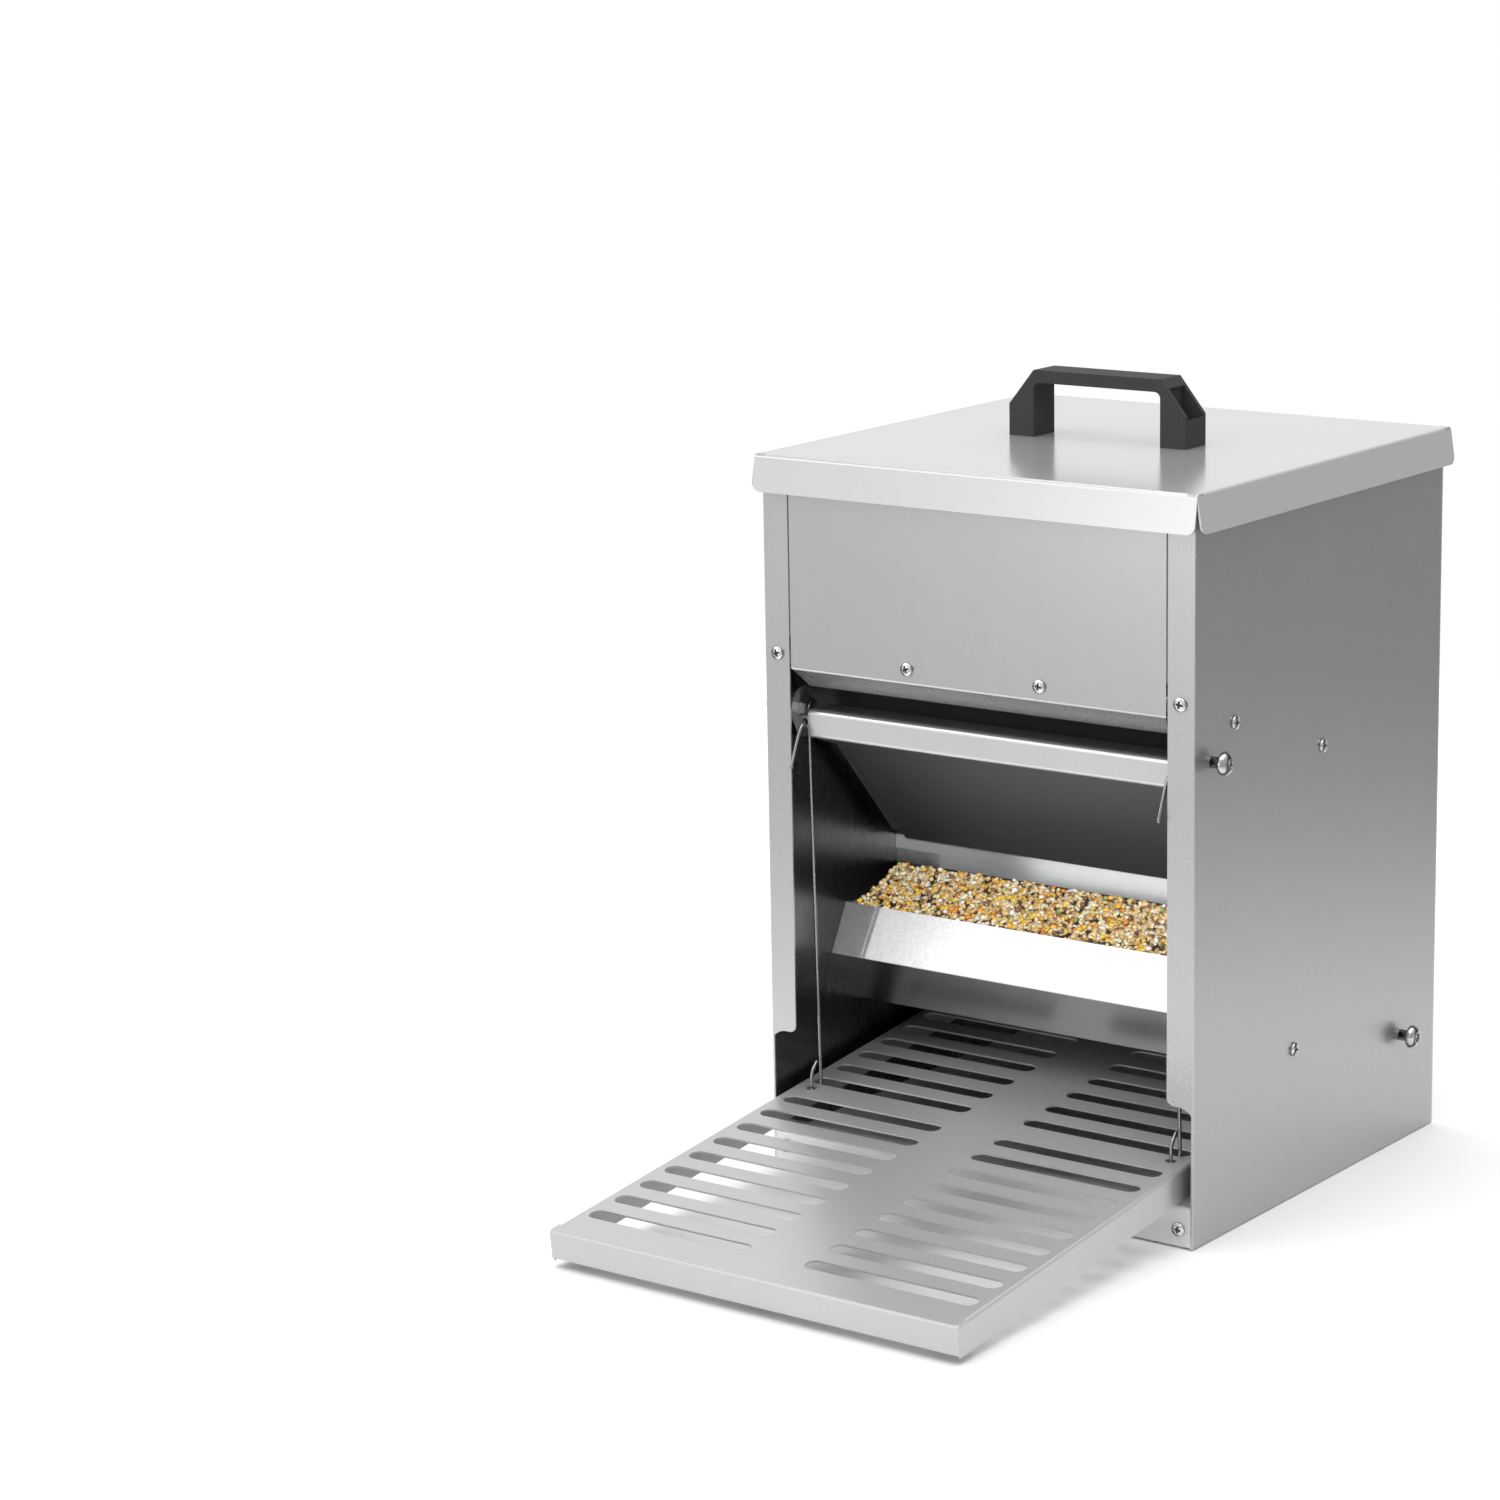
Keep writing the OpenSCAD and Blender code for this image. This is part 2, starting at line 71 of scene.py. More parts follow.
def photo_camera():
    """A long lens from the front right, slightly above."""
    azimuth, elevation, roll = math.radians(37.11), math.radians(12.705), math.radians(-1.105)
    place = Vector((1.19154, -1.89484, 0.72809))
    back = Vector((math.sin(azimuth) * math.cos(elevation),
                   -math.cos(azimuth) * math.cos(elevation), math.sin(elevation)))
    level = Vector((math.cos(azimuth), math.sin(azimuth), 0))
    upright = back.cross(level)
    right = level * math.cos(roll) + upright * math.sin(roll)
    up = upright * math.cos(roll) - level * math.sin(roll)
    data = bpy.data.cameras.new("camera")
    data.sensor_width = 36
    data.lens = 101.36
    data.clip_start, data.clip_end = 0.05, 60
    camera = placed("camera", data)
    camera.matrix_world = Matrix(((right.x, up.x, back.x, place.x), (right.y, up.y, back.y, place.y),
                                  (right.z, up.z, back.z, place.z), (0, 0, 0, 1)))
    bpy.context.scene.camera = camera


photo_camera()


# ---------- material tools ----------

def is_number(value):
    return isinstance(value, (int, float))


class Tree:
    """A short way to write a node tree."""

    def __init__(self, tree):
        self.tree = tree
        tree.nodes.clear()

    def add(self, kind, **values):
        n = self.tree.nodes.new(kind)
        for k, v in values.items():
            setattr(n, k, v)
        return n

    def feed(self, socket, value):
        """Gives an input a number, or links it to an output."""
        if is_number(value):
            socket.default_value = value
        else:
            self.tree.links.new(value, socket)

    def ramp(self, value, low, high, a=0.0, b=1.0, shape="LINEAR"):
        """Turns low to high into a to b, and holds the ends."""
        n = self.add("ShaderNodeMapRange", interpolation_type=shape)
        for name, number in (("From Min", low), ("From Max", high), ("To Min", a), ("To Max", b)):
            n.inputs[name].default_value = number
        self.feed(n.inputs["Value"], value)
        return n.outputs[0]

    def math(self, operation, a, b=0):
        n = self.add("ShaderNodeMath", operation=operation)
        self.feed(n.inputs[0], a)
        self.feed(n.inputs[1], b)
        return n.outputs[0]


class Surface(Tree):
    """A new material made of one Principled shader."""

    def __init__(self, name):
        self.mat = bpy.data.materials.new(name)
        self.mat.use_nodes = True
        super().__init__(self.mat.node_tree)
        self.shader = self.add("ShaderNodeBsdfPrincipled")
        out = self.add("ShaderNodeOutputMaterial")
        self.feed(out.inputs["Surface"], self.shader.outputs[0])

    def set(self, name, value):
        self.feed(self.shader.inputs[name], value)

    def own(self):
        """The object's own coordinates."""
        return self.add("ShaderNodeTexCoord").outputs["Object"]

    def axis(self, letter):
        """One of the object's own coordinates: X, Y or Z."""
        split = self.add("ShaderNodeSeparateXYZ")
        self.feed(split.inputs[0], self.own())
        return split.outputs[letter]

    def noise(self, coords, scale, detail, rough):
        n = self.add("ShaderNodeTexNoise")
        n.inputs["Scale"].default_value = scale
        n.inputs["Detail"].default_value = detail
        n.inputs["Roughness"].default_value = rough
        self.feed(n.inputs["Vector"], coords)
        return n.outputs["Fac"]

    def stretched_noise(self, stretch, scale, detail, rough):
        """Noise on own coordinates that are scaled along each axis first."""
        scaled = self.add("ShaderNodeMapping")
        scaled.inputs["Scale"].default_value = stretch
        self.feed(scaled.inputs["Vector"], self.own())
        return self.noise(scaled.outputs[0], scale, detail, rough)

    def cells(self, coords, scale):
        """A random value for each cell of a Voronoi pattern."""
        n = self.add("ShaderNodeTexVoronoi")
        n.inputs["Scale"].default_value = scale
        self.feed(n.inputs["Vector"], coords)
        split = self.add("ShaderNodeSeparateColor")
        self.feed(split.inputs[0], n.outputs["Color"])
        return split.outputs[0]

    def mix(self, share, a, b, blend="MIX"):
        """Blends two colours, each a tuple or an output."""
        n = self.add("ShaderNodeMix", data_type="RGBA", blend_type=blend)
        self.feed(n.inputs["Factor"], share)
        for socket, colour in ((n.inputs["A"], a), (n.inputs["B"], b)):
            if isinstance(colour, tuple):
                socket.default_value = (*colour, 1)
            else:
                self.feed(socket, colour)
        return n.outputs["Result"]

    def blend(self, share, a, b):
        """a + share (b - a), of numbers or outputs."""
        return self.math("ADD", a, self.math("MULTIPLY", share, self.math("SUBTRACT", b, a)))

    def bump(self, height, strength, distance, normal=None):
        n = self.add("ShaderNodeBump")
        n.inputs["Strength"].default_value = strength
        n.inputs["Distance"].default_value = distance
        self.feed(n.inputs["Height"], height)
        if normal:
            self.feed(n.inputs["Normal"], normal)
        self.set("Normal", n.outputs[0])


def grey(v, warm=0.0):
    """A grey of this brightness, a little towards brown if warm, else towards blue."""
    return (min(1, v * (1 + warm)), v, min(1, v * (1.006 - warm)))


def paint(node, mat):
    """Gives a whole CAD node one material."""
    data = NODES[node].data
    data.materials.clear()
    data.materials.append(mat)


# ---------- sheet metal ----------

def own_low(node, axis):
    """Lowest own coordinate of a node's mesh along X, Y or Z, in metres."""
    return min(v.co["XYZ".index(axis)] for v in NODES[node].data.vertices)


def own_high(node, axis):
    """Highest own coordinate of a node's mesh along X, Y or Z, in metres."""
    return max(v.co["XYZ".index(axis)] for v in NODES[node].data.vertices)


# The faces of a sheet whose own coordinate is under a limit, or over it if over is True, and the
# finish they have, whose tone is painted light or painted shade. both takes the coordinate without its
# sign, and grain is a share of the sheet's.
Part = namedtuple("Part", "axis limit tone rough metallic grain over both", defaults=(1.0, False, False))


def sheet_metal(name, tone, rough, grain, cloud, metallic=0.75, bump=0.06, warm=0.0, mottle=0.0, parts=()):
    """Zinc-coated sheet: sandy micro grain, faint rolling streaks and soft cloudy variation.

    Each Part has a finish of its own, whose tone is painted light or painted shade, and a later Part goes
    over an earlier one.
    """
    m = Surface(name)
    own = m.own()
    fine = m.noise(own, scale=950, detail=2.0, rough=0.65)
    soft = m.noise(own, scale=11, detail=3.0, rough=0.5)
    rolled = m.stretched_noise((1, 1, 0.12), scale=260, detail=2.0, rough=0.5)
    texture = m.math("ADD", m.ramp(fine, 0.3, 0.7, -grain, grain), m.ramp(soft, 0.3, 0.7, -cloud, cloud))
    if mottle:
        texture = m.math("ADD", texture, m.ramp(m.cells(own, scale=520), 0.0, 1.0, -mottle, mottle))
    worn = m.math("ADD", rolled, fine)

    def colour_of(t, share=1.0):
        value = m.math("ADD", m.math("MULTIPLY", texture, share), 0.5)
        return m.mix(value, grey(t * 0.55, warm), grey(min(1, t * 1.45), warm))

    def roughness_of(r):
        return m.ramp(worn, 0.6, 1.4, r * 0.94, r * 1.06)

    colour = colour_of(tone)
    roughness = roughness_of(rough)
    metal = metallic
    for part in parts:
        place = m.axis(part.axis)
        if part.both:
            place = m.math("ABSOLUTE", place)
        there = m.math("GREATER_THAN" if part.over else "LESS_THAN", place, part.limit)
        colour = m.mix(there, colour, colour_of(part.tone, part.grain))
        roughness = m.blend(there, roughness, roughness_of(part.rough))
        metal = m.blend(there, metal, part.metallic)
    m.set("Base Color", colour)
    m.set("Roughness", roughness)
    m.set("Metallic", metal)
    m.bump(fine, bump, 0.1 * MM)
    return m.mat


def side_metal():
    """Side walls, with inner faces painted darker as shade, and smoother front and rear flanges painted
    lighter as lit faces.
    """
    # Painted shade on the inner faces; painted light on the front and rear flanges.
    inside = Part("X", HALF - 0.5 * MM, 0.20, 0.28, 1.0, 0.6, both=True)
    lit_front_flange = Part("Y", own_low("side_panel_right", "Y") + SKIN, 0.56, 0.28, 0.8, 0.06)
    lit_rear_flange = Part("Y", own_high("side_panel_right", "Y") - SKIN, 0.56, 0.28, 0.8, 0.06, over=True)
    return sheet_metal("sheet_side_walls", 0.43, 0.30, 0.075, 0.01, metallic=0.85, bump=0.02,
                       parts=(inside, lit_front_flange, lit_rear_flange))


def front_metal():
    """Front panel, with a painted highlight along the bend above a lip painted dark as shade."""
    lip_top = own_low("front_panel", "Z") + 10.1 * MM
    # The bend's tone is a painted highlight; the lip's tone is painted shade.
    bend = Part("Z", lip_top + 1.0 * MM, 1.0, 0.25, 0.3, 0.5)
    lip = Part("Z", lip_top, 0.37, 0.28, 0.8, 0.4)
    return sheet_metal("sheet_front", 0.555, 0.26, 0.02, 0.01, metallic=0.85, warm=0.006, parts=(bend, lip))


def lid_metal():
    """Smooth lid, with its flanges under the top face painted brighter as lit faces."""
    # Painted light: the flanges are a lighter tone than the top.
    flanges = Part("Z", own_high("lid", "Z") - 1.6 * MM, 0.66, 0.22, 0.7)
    return sheet_metal("sheet_lid", 0.565, 0.18, 0.02, 0.01, metallic=0.57, bump=0.03, parts=(flanges,))


def chute_metal():
    """The hopper's front slope, painted dark as shade, with its foot painted bright as painted light."""
    # Painted light on the foot; the slope's dark tone is painted shade.
    foot = Part("Z", own_low("hopper_chute", "Z") + 8.2 * MM, 0.95, 0.20, 0.8)
    return sheet_metal("sheet_chute", 0.24, 0.34, 0.05, 0.03, metallic=0.95, parts=(foot,))


def flap_metal():
    """Flap painted dark as shade, with a front bar painted bright as painted light."""
    # Painted light on the bar; the plate's dark tone is painted shade.
    bar = Part("Y", own_low("flap", "Y") + 8 * MM, 0.90, 0.22, 0.7)
    return sheet_metal("sheet_flap", 0.19, 0.48, 0.04, 0.03, metallic=0.6, parts=(bar,))


def trough_metal():
    """Pale mottled trough, its lower faces painted darker as shade."""
    # Painted shade on the lower faces.
    shaded_underside = Part("Z", own_low("trough", "Z") + 30.2 * MM, 0.50, 0.24, 1.0, 0.6)
    return sheet_metal("sheet_trough", 0.74, 0.34, 0.10, 0.02, metallic=0.25, bump=0.10, mottle=0.06,
                       parts=(shaded_underside,))


def paint_sheets():
    side = side_metal()
    # The hopper's inner sheets are painted dark as shade.
    hopper = sheet_metal("sheet_hopper_painted_shade", 0.30, 0.34, 0.05, 0.03, metallic=0.95)
    finishes = {
        "side_panel_left": side,
        "side_panel_right": side,
        "front_panel": front_metal(),
        "lid": lid_metal(),
        "back_panel": sheet_metal("sheet_back", 0.50, 0.28, 0.05, 0.01, metallic=0.8, bump=0.02),
        "rear_slope": hopper,
        "tie_rod": hopper,
        "hopper_chute": chute_metal(),
        "flap": flap_metal(),
        "trough": trough_metal(),
        "feed_gate": sheet_metal("sheet_gate", 1.0, 0.20, 0.08, 0.02, metallic=0.8, bump=0.10, mottle=0.05),
        "treadle": sheet_metal("sheet_treadle", 0.53, 0.34, 0.03, 0.015, metallic=0.5),
        "base_pan": sheet_metal("sheet_sill", 0.92, 0.24, 0.03, 0.02, metallic=0.45),
    }
    for node, mat in finishes.items():
        paint(node, mat)


paint_sheets()


# ---------- plated parts and the handle ----------

# Painted reflection: stops from a face seen square on to one seen edge on, and whether each is dark
PAINTED_REFLECTION_RINGS = ((0.0, False), (0.26, False), (0.36, True), (0.50, True),
         (0.60, False), (0.74, False), (0.84, True), (1.0, True))


def plating(name, tone, rough, dark=1.0):
    """Bright zinc or chrome plating with faint wear.

    A dark under 1 adds painted reflections, as of black cards beside the lamps: rings that darken with the
    angle of the surface.
    """
    m = Surface(name)
    worn = m.noise(m.own(), scale=700, detail=3.0, rough=0.6)
    colour = m.mix(m.ramp(worn, 0.3, 0.7), grey(tone * 0.88), grey(tone))
    if dark < 1:
        turn = m.add("ShaderNodeLayerWeight")
        turn.inputs["Blend"].default_value = 0.5
        rings = m.add("ShaderNodeValToRGB")
        stops = rings.color_ramp.elements
        for place, _ in PAINTED_REFLECTION_RINGS[1:-1]:
            stops.new(place)
        for stop, (_, is_dark) in zip(stops, PAINTED_REFLECTION_RINGS):
            v = dark if is_dark else 1.0
            stop.color = (v, v, v, 1)
        m.feed(rings.inputs[0], turn.outputs["Facing"])
        colour = m.mix(1.0, colour, rings.outputs[0], "MULTIPLY")
    m.set("Base Color", colour)
    m.set("Roughness", m.ramp(worn, 0.3, 0.7, rough * 0.75, rough * 1.3))
    m.set("Metallic", 1.0)
    m.bump(worn, 0.05, 0.05 * MM)
    return m.mat


def moulded():
    """Black moulded plastic with a fine texture and edges that look slightly rounded."""
    m = Surface("moulded_black")
    fine = m.noise(m.own(), scale=1600, detail=2.0, rough=0.6)
    m.set("Base Color", m.mix(m.ramp(fine, 0.3, 0.7), (0.050, 0.050, 0.051), (0.066, 0.066, 0.067)))
    m.set("Roughness", m.ramp(fine, 0.3, 0.7, 0.52, 0.66))
    m.set("IOR", 1.17)
    m.set("Specular IOR Level", 0.16)
    soft_edges = m.add("ShaderNodeBevel", samples=4)
    soft_edges.inputs["Radius"].default_value = 0.7 * MM
    m.bump(fine, 0.15, 0.1 * MM, soft_edges.outputs[0])
    return m.mat


# Screw, bolt and wire plating carry painted reflection rings.
screw_metal = plating("plated_screw", 0.85, 0.10, 0.16)
bolt_metal = plating("plated_bolt", 0.62, 0.14, 0.12)
# Near-black plating: painted shade inside screw recesses and bolt sockets.
recess_shade_metal = plating("screw_recess_painted_shade", 0.10, 0.35)
nut_metal = plating("plated_nut", 0.52, 0.25)
wire_metal = plating("wire", 0.40, 0.24, 0.3)
for node in NODES:
    if node.endswith(("screws", "bolts")):
        paint(node, screw_metal)
    if node.endswith(("nuts", "washers")):
        paint(node, nut_metal)
    if node.startswith("link_wire"):
        paint(node, wire_metal)
paint("handle", moulded())


# ---------- mesh tools ----------

def new_piece(name, verts, faces, mat, body, slot=None, node=None, smooth=True):
    """A mesh with normals outward that rides on a body, and may replace a CAD node."""
    mesh = bpy.data.meshes.new(name)
    mesh.from_pydata([tuple(v) for v in verts], [], faces)
    bm = bmesh.new()
    bm.from_mesh(mesh)
    bmesh.ops.recalc_face_normals(bm, faces=bm.faces)
    bm.to_mesh(mesh)
    bm.free()
    if smooth:
        mesh.shade_smooth()
    mesh.materials.append(mat)
    mesh.validate()
    o = placed(name, mesh)
    if node:
        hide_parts(node)
    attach(o, body)
    return o


def circle(radius, z, turns):
    """Points of a level circle about Z."""
    angles = [TWO_PI * i / turns for i in range(turns)]
    return [(radius * math.cos(w), radius * math.sin(w), z) for w in angles]


def band(a, b, turns):
    """Faces between two rings of points that start at the indices a and b."""
    pairs = [(i, (i + 1) % turns) for i in range(turns)]
    return [(a + i, b + i, b + j, a + j) for i, j in pairs]


def tube(rings):
    """(verts, faces) of a closed solid through rings of equal numbers of points, its ends flat."""
    turns = len(rings[0])
    verts = [point for ring in rings for point in ring]
    faces = []
    for k in range(len(rings) - 1):
        faces += band(k * turns, (k + 1) * turns, turns)
    faces.append(tuple(range(turns)))
    faces.append(tuple(reversed(range(len(verts) - turns, len(verts)))))
    return verts, faces


def lathe(profile, turns):
    """(verts, faces) of a (radius, z) outline turned about Z. It starts and ends on the axis."""
    inner = profile[1:-1]
    verts = [(0, 0, profile[0][1])]
    for radius, z in inner:
        verts += circle(radius, z, turns)
    verts.append((0, 0, profile[-1][1]))
    last = len(verts) - 1
    faces = []
    for i in range(turns):
        faces.append((0, 1 + i, 1 + (i + 1) % turns))
    for k in range(len(inner) - 1):
        faces += band(1 + k * turns, 1 + (k + 1) * turns, turns)
    for i in range(turns):
        faces.append((last - turns + (i + 1) % turns, last - turns + i, last))
    return verts, faces


def merged(parts):
    """One (verts, faces) from several (verts, faces, matrix)."""
    verts, faces = [], []
    for own_verts, own_faces, m in parts:
        k = len(verts)
        verts += [m @ Vector(p) for p in own_verts]
        faces += [tuple(i + k for i in face) for face in own_faces]
    return verts, faces


def facing(place, direction, turn=0.0):
    """A matrix that stands Z along a direction at a place, turned about it."""
    q = Vector(direction).to_track_quat("Z", "Y")
    return Matrix.Translation(place) @ q.to_matrix().to_4x4() @ Matrix.Rotation(turn, 4, "Z")


def second_material(o, mat, face_numbers):
    """Gives some faces of a piece a material of their own."""
    o.data.materials.append(mat)
    for i in face_numbers:
        o.data.polygons[i].material_index = 1


def extent(node, side=None):
    """Lowest and highest corner of a CAD node's vertices, or of those on one side of the middle."""
    o = NODES[node]
    m = np.array(o.matrix_world)
    v = np.empty(len(o.data.vertices) * 3, np.float64)
    o.data.vertices.foreach_get("co", v)
    v = v.reshape(-1, 3) @ m[:3, :3].T + m[:3, 3]
    if side:
        v = v[v[:, 0] * side > 0]
    return v.min(axis=0), v.max(axis=0)


def centre(node, side=None):
    """Mid point of a CAD node's vertices, or of those on one side of the middle."""
    low, high = extent(node, side)
    return (low + high) / 2


# ---------- pan-head screws ----------

def pan_head(length):
    """Pan-head screw with a cross recess pressed in, in metres, head up, its seat at z = 0."""
    turns, rows = 64, 20
    radius, top, dome = 3.66, 2.2, 8.4     # the head's, with the dome's own radius
    rim = radius - 0.35                    # where the dome turns down into the edge
    shank = 1.9
    arm, half_arm = 2.1, 0.66              # the cross: reach and half width, at the surface
    end_slope, side_slope = 0.3, 0.2       # how far its walls lean
    depth, taper = 1.5, 0.45

    def height(x, y):
        near, far = sorted((abs(x), abs(y)))
        surface = math.sqrt(dome ** 2 - min(radius, math.hypot(x, y)) ** 2) - (dome - top)
        across = min(1.0, max(0.0, (half_arm - near) / side_slope))
        along = min(1.0, max(0.0, (arm - far) / end_slope))
        return surface - across * along * max(0.0, depth - taper * far)

    edge = height(rim, 0)
    verts = [(0, 0, height(0, 0))]
    for k in range(rows):
        verts += [(x, y, height(x, y)) for x, y, _ in circle(rim * (k + 1) / rows, 0, turns)]
    below = ((radius - 0.12, edge - 0.12), (radius, edge - 0.42), (radius, 0), (shank, 0), (shank, -length))
    for r, z in below:
        verts += circle(r, z, turns)
    verts.append((0, 0, -length))
    last = len(verts) - 1
    faces = [(0, 1 + i, 1 + (i + 1) % turns) for i in range(turns)]
    for k in range(rows + len(below) - 1):
        faces += band(1 + k * turns, 1 + (k + 1) * turns, turns)
    faces += [(last - turns + i, last, last - turns + (i + 1) % turns) for i in range(turns)]
    return [(x * MM, y * MM, z * MM) for x, y, z in verts], faces


def recessed():
    """For each face of a pan head, whether it lies well inside the cross recess."""
    verts, faces = pan_head(4)
    inside = []
    for face in faces:
        middle = sum((Vector(verts[i]) for i in face), Vector()) / len(face) / MM
        near, far = sorted((abs(middle.x), abs(middle.y)))
        inside.append(middle.z > 0.3 and near < 0.56 and far < 1.95)
    return inside


RECESSED = recessed()


def pan_screws(node, places, length):
    """One piece of equal screws, each at a (place, direction) and turned a little further."""
    verts, faces = pan_head(length)
    parts = []
    for k, (place, direction) in enumerate(places):
        parts.append((verts, faces, facing(place, direction, 0.35 + 1.1 * k)))
    o = new_piece(node + "_piece", *merged(parts), screw_metal, "cabinet", "plated_fastener", node)
    # The faces inside each cross recess are painted near black as shade.
    second_material(o, recess_shade_metal, [i for i, dark in enumerate(RECESSED * len(places)) if dark])


def front_screws(node, length):
    """A pair of screws in the cabinet's front face."""
    middles = [centre(node, side) for side in SIDES]
    pan_screws(node, [(Vector((c[0], FRONT, c[2])), (0, -1, 0)) for c in middles], length)


def wall_screws(node, length):
    """A screw in each side wall."""
    places = []
    for side in SIDES:
        c = centre(node, side)
        places.append((Vector((side * HALF, c[1], c[2])), (side, 0, 0)))
    pan_screws(node, places, length)


def back_screws():
    """Three screws up each edge of the back panel."""
    inset, heights = 8 * MM, (30 * MM, 200 * MM, 360 * MM)
    places = [(Vector((side * (HALF - inset), BACK, z)), (0, 1, 0)) for side in SIDES for z in heights]
    pan_screws("back_screws", places, 6)


front_screws("flange_screws", 4)
front_screws("front_panel_screws", 4)
front_screws("sill_screws", 6)
wall_screws("chute_screws", 6)
wall_screws("tie_rod_screws", 12)
wall_screws("trough_screws", 4)
back_screws()


# ---------- pivot bolts ----------

BOLT_HEAD = 4.4         # millimetres, from the seat to the top of the dome


def bolt_profile(depth):
    """(radius, z) outline in millimetres of a domed M6 bolt, from its socket to a depth below its seat."""
    head, crown, rim = 6.3, 2.5, 1.2       # head's radius, flat middle's radius, height of the dome's foot
    shank, root, pitch = 3.0, 2.62, 1.0
    thread_starts, thread_stops = 7.3, depth - 0.8
    steps = 12
    profile = [(0.0, BOLT_HEAD - 1.3), (1.9, BOLT_HEAD - 1.2), (2.25, BOLT_HEAD - 0.25)]
    for k in range(steps + 1):
        w = math.pi / 2 * k / steps
        profile.append((crown + (head - crown) * math.sin(w), rim + (BOLT_HEAD - rim) * math.cos(w)))
    profile += [(head, 0.3), (head - 0.3, 0.0), (shank, 0.0)]
    z = -thread_starts
    while z > -thread_stops:
        profile += [(shank, z), (root, z - pitch / 2), (shank, z - pitch)]
        z -= pitch
    profile += [(shank, -depth + 0.5), (2.5, -depth), (0.0, -depth)]
    return profile


def pivot_bolts(node, body):
    """Domed pivot bolts standing off the walls, with a socket in the head and a threaded end."""
    parts = []
    for side in SIDES:
        low, high = extent(node, side)
        c = centre(node, side)
        outer = max(abs(low[0]), abs(high[0])) / MM
        inner = min(abs(low[0]), abs(high[0])) / MM
        seat = outer - BOLT_HEAD
        outline = [(r * MM, z * MM) for r, z in reversed(bolt_profile(seat - inner))]
        verts, faces = lathe(outline, 64)
        parts.append((verts, faces, facing(Vector((side * seat * MM, c[1], c[2])), (side, 0, 0))))
    # The socket's walls are painted near black as shade.
    socket = []
    for i, face in enumerate(faces):
        corners = [verts[k] for k in face]
        if all(1.8 * MM < math.hypot(x, y) < 2.3 * MM and z > 1.5 * MM for x, y, z in corners):
            socket.append(i)
    o = new_piece(node + "_piece", *merged(parts), bolt_metal, body, "plated_fastener", node)
    second_material(o, recess_shade_metal, socket + [i + len(faces) for i in socket])


pivot_bolts("flap_pivot_bolts", "flap")
pivot_bolts("treadle_pivot_bolts", "treadle")


# ---------- link wires ----------

# The wire's bent route, (y, z) in millimetres, from its upper hook on the flap's tab to its
# lower hook under the treadle
ROUTE = [(-3.6, 224), (-0.5, 232), (3.6, 241.5), (6.4, 245.6), (9.5, 246.2), (11.8, 244.4),
         (12.6, 240), (14.9, 160), (18.2, 48), (18.4, 43.4), (17.6, 40.8), (14.2, 39.9),
         (10.9, 40.1), (9.5, 41.8), (9.4, 44), (9.5, 48.4), (10.8, 52), (14.2, 55.6)]


def corners_cut(path):
    """The same route with each corner cut, up to 2 mm from it."""
    fresh = [path[0]]
    for a, b in zip(path, path[1:]):
        cut = min(0.25, 2.0 / (b - a).length)
        fresh += [a.lerp(b, cut), a.lerp(b, 1 - cut)]
    return fresh + [path[-1]]


def wires():
    """Drawn wire bent into hooks: a round tube along the smoothed route, its ends slightly bevelled."""
    turns, radius, bevel, past = 14, 1.0, 0.25, 0.9
    path = corners_cut(corners_cut([Vector((0, y, z)) for y, z in ROUTE]))
    ways = [(b - a).normalized() for a, b in zip(path[:1] + path, path[1:] + path[-1:])]
    first, last = ways[0], ways[-1]
    stations = [(path[0] - first * past, first, radius - bevel),
                (path[0] - first * (past - bevel), first, radius)]
    stations += [(p, way, radius) for p, way in zip(path[1:-1], ways[1:-1])]
    stations += [(path[-1] + last * (past - bevel), last, radius),
                 (path[-1] + last * past, last, radius - bevel)]
    for node, body in (("link_wire_left", "link_left"), ("link_wire_right", "link_right")):
        x = centre(node)[0] / MM
        rings = []
        for p, way, r in stations:
            across = Vector((0, way.z, -way.y))
            points = [p + across * u + Vector((v, 0, 0)) for u, v, _ in circle(r, 0, turns)]
            rings.append([at(x + q.x, q.y, q.z) for q in points])
        new_piece(node + "_piece", *tube(rings), wire_metal, body, "bright_wire", node)


wires()


# ---------- feed in the trough and the hopper ----------

HEAP = 130.2             # millimetres, half the feed's width

SEEDS = [  # share, colour, length, width, flatness
    (0.20, (0.70, 0.46, 0.19), 5.2, 2.7, 0.75),      # wheat
    (0.15, (0.88, 0.64, 0.31), 5.0, 2.7, 0.75),
    (0.16, (0.92, 0.69, 0.36), 3.1, 2.9, 0.95),      # millet and sorghum
    (0.06, (0.86, 0.29, 0.03), 4.2, 3.6, 0.60),      # broken maize
    (0.10, (0.96, 0.56, 0.06), 4.4, 3.6, 0.60),
    (0.12, (0.95, 0.86, 0.64), 6.0, 2.8, 0.60),      # rice and pale flakes
    (0.05, (0.98, 0.95, 0.86), 4.2, 3.3, 0.70),
    (0.09, (0.27, 0.15, 0.07), 3.6, 2.9, 0.85),      # dark seeds
    (0.05, (0.10, 0.06, 0.04), 3.3, 2.7, 0.85),
    (0.02, (0.36, 0.42, 0.12), 3.9, 3.5, 0.90),      # split peas
]


def seed_material(name, tone=None):
    """Matt husk in one tone, such as the painted shade of the heap under the seeds, or in each seed's own
    colour.
    """
    m = Surface(name)
    fine = m.noise(m.own(), scale=1500, detail=3.0, rough=0.6)
    if tone:
        colour = m.mix(m.ramp(fine, 0.3, 0.7), tuple(v * 0.45 for v in tone), tone)
    else:
        own = m.add("ShaderNodeAttribute", attribute_name="seed_colour").outputs["Color"]
        shade = m.mix(m.ramp(fine, 0.25, 0.75), (0.68, 0.66, 0.62), (1, 1, 1))
        colour = m.mix(1.0, own, shade, "MULTIPLY")
    m.set("Base Color", colour)
    m.set("Roughness", m.ramp(fine, 0.3, 0.7, 0.45, 0.7))
    m.bump(fine, 0.3, 0.2 * MM)
    return m.mat


